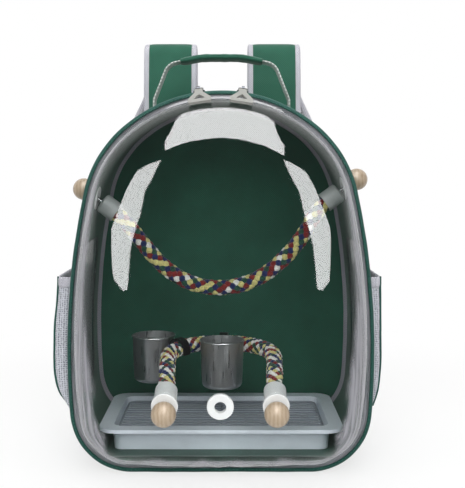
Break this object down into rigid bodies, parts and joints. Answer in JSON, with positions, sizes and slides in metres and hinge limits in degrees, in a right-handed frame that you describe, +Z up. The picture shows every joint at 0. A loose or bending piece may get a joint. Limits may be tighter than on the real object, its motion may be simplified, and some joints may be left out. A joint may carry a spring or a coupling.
{
  "type": "bird travel carrier",
  "caption": "Upright fabric backpack for small birds, with a clear domed zip-down door, rope perches on screwed wooden balls, feeding cups, a waste tray with grate and padded straps.",
  "frame": {"origin": "middle of the base between the two sides and between the zip's seam and the back seam, on the surface that the bag stands on", "axes": "+Z up, +X to the right as seen from the front, the clear door faces -Y"},
  "size_m": [0.3705, 0.334, 0.4983],
  "materials": {
    "shell_fabric": "woven",
    "binding_tape": "ribbed",
    "air_mesh": "knitted",
    "floor_cloth": "woven",
    "zip_tape": "woven",
    "clear_sheet": "clear, vacuum formed",
    "grey_moulding": "moulded",
    "white_moulding": "moulded",
    "black_moulding": "moulded",
    "pull_moulding": "moulded",
    "gunmetal": "plated",
    "screw_steel": "plated",
    "cup_steel": "polished",
    "grate_wire": "drawn wire",
    "turned_wood": "sanded",
    "cotton_rope": "braided",
    "tray_moulding": "moulded",
    "light_webbing": "woven",
    "strap_fabric": "padded"
  },
  "bodies": {
    "bag": {"anchor_tab_left": "binding_tape", "anchor_tab_right": "binding_tape", "back_binding": "binding_tape", "back_pad_left": "air_mesh", "back_pad_right": "air_mesh", "back_panel": "shell_fabric", "bottom_panel": "shell_fabric", "crown_panel": "shell_fabric", "ferrule_upper_left": "grey_moulding", "ferrule_upper_right": "grey_moulding", "floor_pad": "floor_cloth", "handle_patches": "binding_tape", "hinge_flap": "shell_fabric", "ladder_lock_left": "black_moulding", "ladder_lock_right": "black_moulding", "perch_rope_upper": "cotton_rope", "pocket_left": "air_mesh", "pocket_right": "air_mesh", "pocket_trim_left": "binding_tape", "pocket_trim_right": "binding_tape", "shoulder_strap_left": "strap_fabric", "shoulder_strap_right": "strap_fabric", "side_mesh_left": "air_mesh", "side_mesh_right": "air_mesh", "side_panel_left": "shell_fabric", "side_panel_right": "shell_fabric", "strap_webbing_left": "light_webbing", "strap_webbing_right": "light_webbing", "studs_upper": "screw_steel", "wall_grommets": "white_moulding", "zip_chain_bag": "zip_tape"},
    "door": {"clear_dome": "clear_sheet", "door_binding": "binding_tape", "zip_chain_door": "zip_tape", "dome_grommets": "white_moulding", "perch_rope_lower": "cotton_rope", "studs_lower": "screw_steel", "ferrule_lower_left": "grey_moulding", "ferrule_lower_right": "grey_moulding"},
    "handle": {"handle_webbing": "light_webbing", "handle_grip": "strap_fabric"},
    "tray": {"tray": "tray_moulding"},
    "grate": {"tray_grate": "grate_wire"},
    "slider_left": {"zip_slider_left": "gunmetal"},
    "pull_left": {"pull_link_left": "gunmetal", "pull_tab_left": "pull_moulding"},
    "cup_left": {"cup_left": "cup_steel", "cup_hook_left": "black_moulding", "cup_rivets_left": "screw_steel"},
    "ball_upper_left": {"ball_upper_left": "turned_wood"},
    "ball_lower_left": {"ball_lower_left": "turned_wood"},
    "slider_right": {"zip_slider_right": "gunmetal"},
    "pull_right": {"pull_link_right": "gunmetal", "pull_tab_right": "pull_moulding"},
    "cup_right": {"cup_right": "cup_steel", "cup_hook_right": "black_moulding", "cup_rivets_right": "screw_steel"},
    "ball_upper_right": {"ball_upper_right": "turned_wood"},
    "ball_lower_right": {"ball_lower_right": "turned_wood"}
  },
  "joints": [
    {"name": "door_hinge", "type": "hinge", "parent": "bag", "child": "door", "pos_m": [0, -0.096, 0], "axis": [1, 0, 0], "range_deg": [0, 75]},
    {"name": "tray_slide", "type": "slide", "parent": "bag", "child": "tray", "axis": [0, -1, 0], "range_m": [0, 0.02]},
    {"name": "grate_lift", "type": "slide", "parent": "tray", "child": "grate", "axis": [0, 0, 1], "range_m": [0, 0.01]},
    {"name": "handle_fold", "type": "hinge", "parent": "bag", "child": "handle", "pos_m": [0, 0, 0.41426], "axis": [1, 0, 0], "range_deg": [-50, 50]},
    {"name": "slider_run_left", "type": "hinge", "parent": "door", "child": "slider_left", "pos_m": [0, -0.093, 0.255], "axis": [0, -1, 0], "range_deg": [0, 31]},
    {"name": "pull_flip_left", "type": "hinge", "parent": "slider_left", "child": "pull_left", "pos_m": [-0.02467, -0.093, 0.4228], "axis": [-0.9894, 0, -0.1455], "range_deg": [0, 150]},
    {"name": "ball_turn_upper_left", "type": "hinge", "parent": "bag", "child": "ball_upper_left", "pos_m": [-0.15093, -0.018, 0.2997], "axis": [-0.809, 0, 0.5878], "continuous": true},
    {"name": "ball_turn_lower_left", "type": "hinge", "parent": "door", "child": "ball_lower_left", "pos_m": [-0.058, -0.15211, 0.087], "axis": [0, -0.9397, -0.342], "continuous": true},
    {"name": "cup_lift_left", "type": "slide", "parent": "door", "child": "cup_left", "axis": [0, 0, 1], "range_m": [0, 0.025]},
    {"name": "slider_run_right", "type": "hinge", "parent": "door", "child": "slider_right", "pos_m": [0, -0.093, 0.255], "axis": [0, 1, 0], "range_deg": [0, 31]},
    {"name": "pull_flip_right", "type": "hinge", "parent": "slider_right", "child": "pull_right", "pos_m": [0.02467, -0.093, 0.4228], "axis": [-0.9894, 0, 0.1455], "range_deg": [0, 150]},
    {"name": "ball_turn_upper_right", "type": "hinge", "parent": "bag", "child": "ball_upper_right", "pos_m": [0.14835, -0.018, 0.31164], "axis": [0.809, 0, 0.5878], "continuous": true},
    {"name": "ball_turn_lower_right", "type": "hinge", "parent": "door", "child": "ball_lower_right", "pos_m": [0.058, -0.15211, 0.087], "axis": [0, -0.9397, -0.342], "continuous": true},
    {"name": "cup_lift_right", "type": "slide", "parent": "door", "child": "cup_right", "axis": [0, 0, 1], "range_m": [0, 0.025]}
  ]
}
